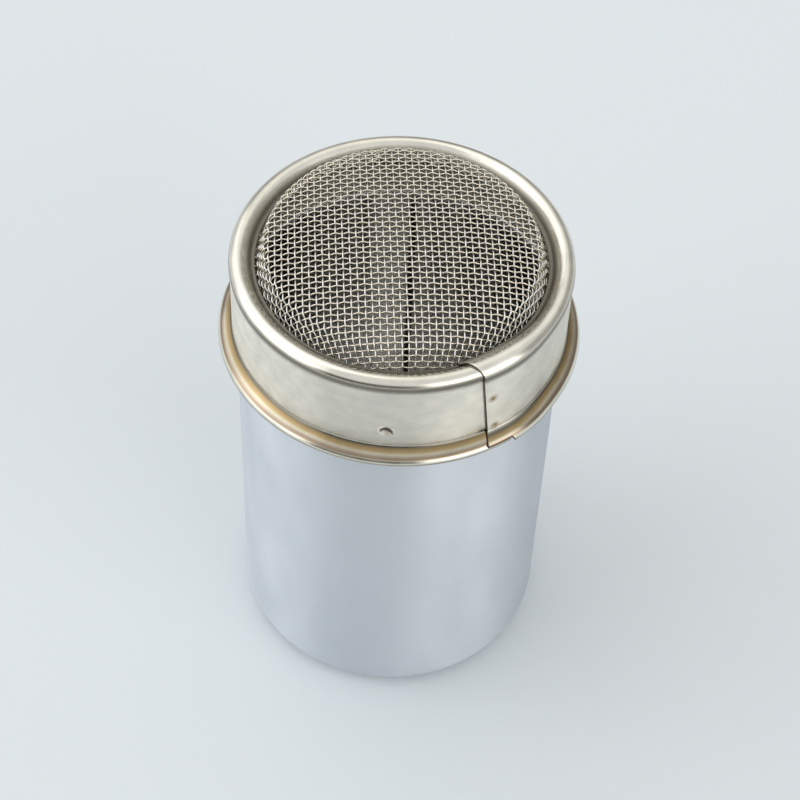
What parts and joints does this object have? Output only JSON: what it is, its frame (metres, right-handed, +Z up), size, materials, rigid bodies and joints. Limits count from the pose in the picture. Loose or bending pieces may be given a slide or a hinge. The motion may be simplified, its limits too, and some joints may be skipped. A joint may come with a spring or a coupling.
{
  "type": "mesh-top shaker",
  "caption": "Cylindrical steel shaker cup with a push-on lid: rolled bead, domed woven wire mesh top and a flared brim.",
  "frame": {"origin": "centre of the cup's flat base", "axes": "+Z up along the shaker's axis, -Y towards the pictured front, +X to its right; the lap joint of the lid is right of the front"},
  "size_m": [0.07, 0.07, 0.1067],
  "materials": {
    "cup_satin_steel": "satin",
    "lid_rolled_steel": "bright rolled",
    "weld_steel": "heat tinted",
    "ring_steel": "satin",
    "wire_steel": "bright drawn wire"
  },
  "bodies": {
    "cup": {"cup_body": "cup_satin_steel"},
    "lid": {"lid_band": "lid_rolled_steel", "seam_spot_welds": "weld_steel", "mesh_clamp_ring": "ring_steel", "mesh_weft_wires": "wire_steel", "mesh_warp_wires": "wire_steel"}
  },
  "joints": [
    {"name": "lid_lift", "type": "slide", "parent": "cup", "child": "lid", "axis": [0, 0, 1], "range_m": [0, 0.04]}
  ]
}
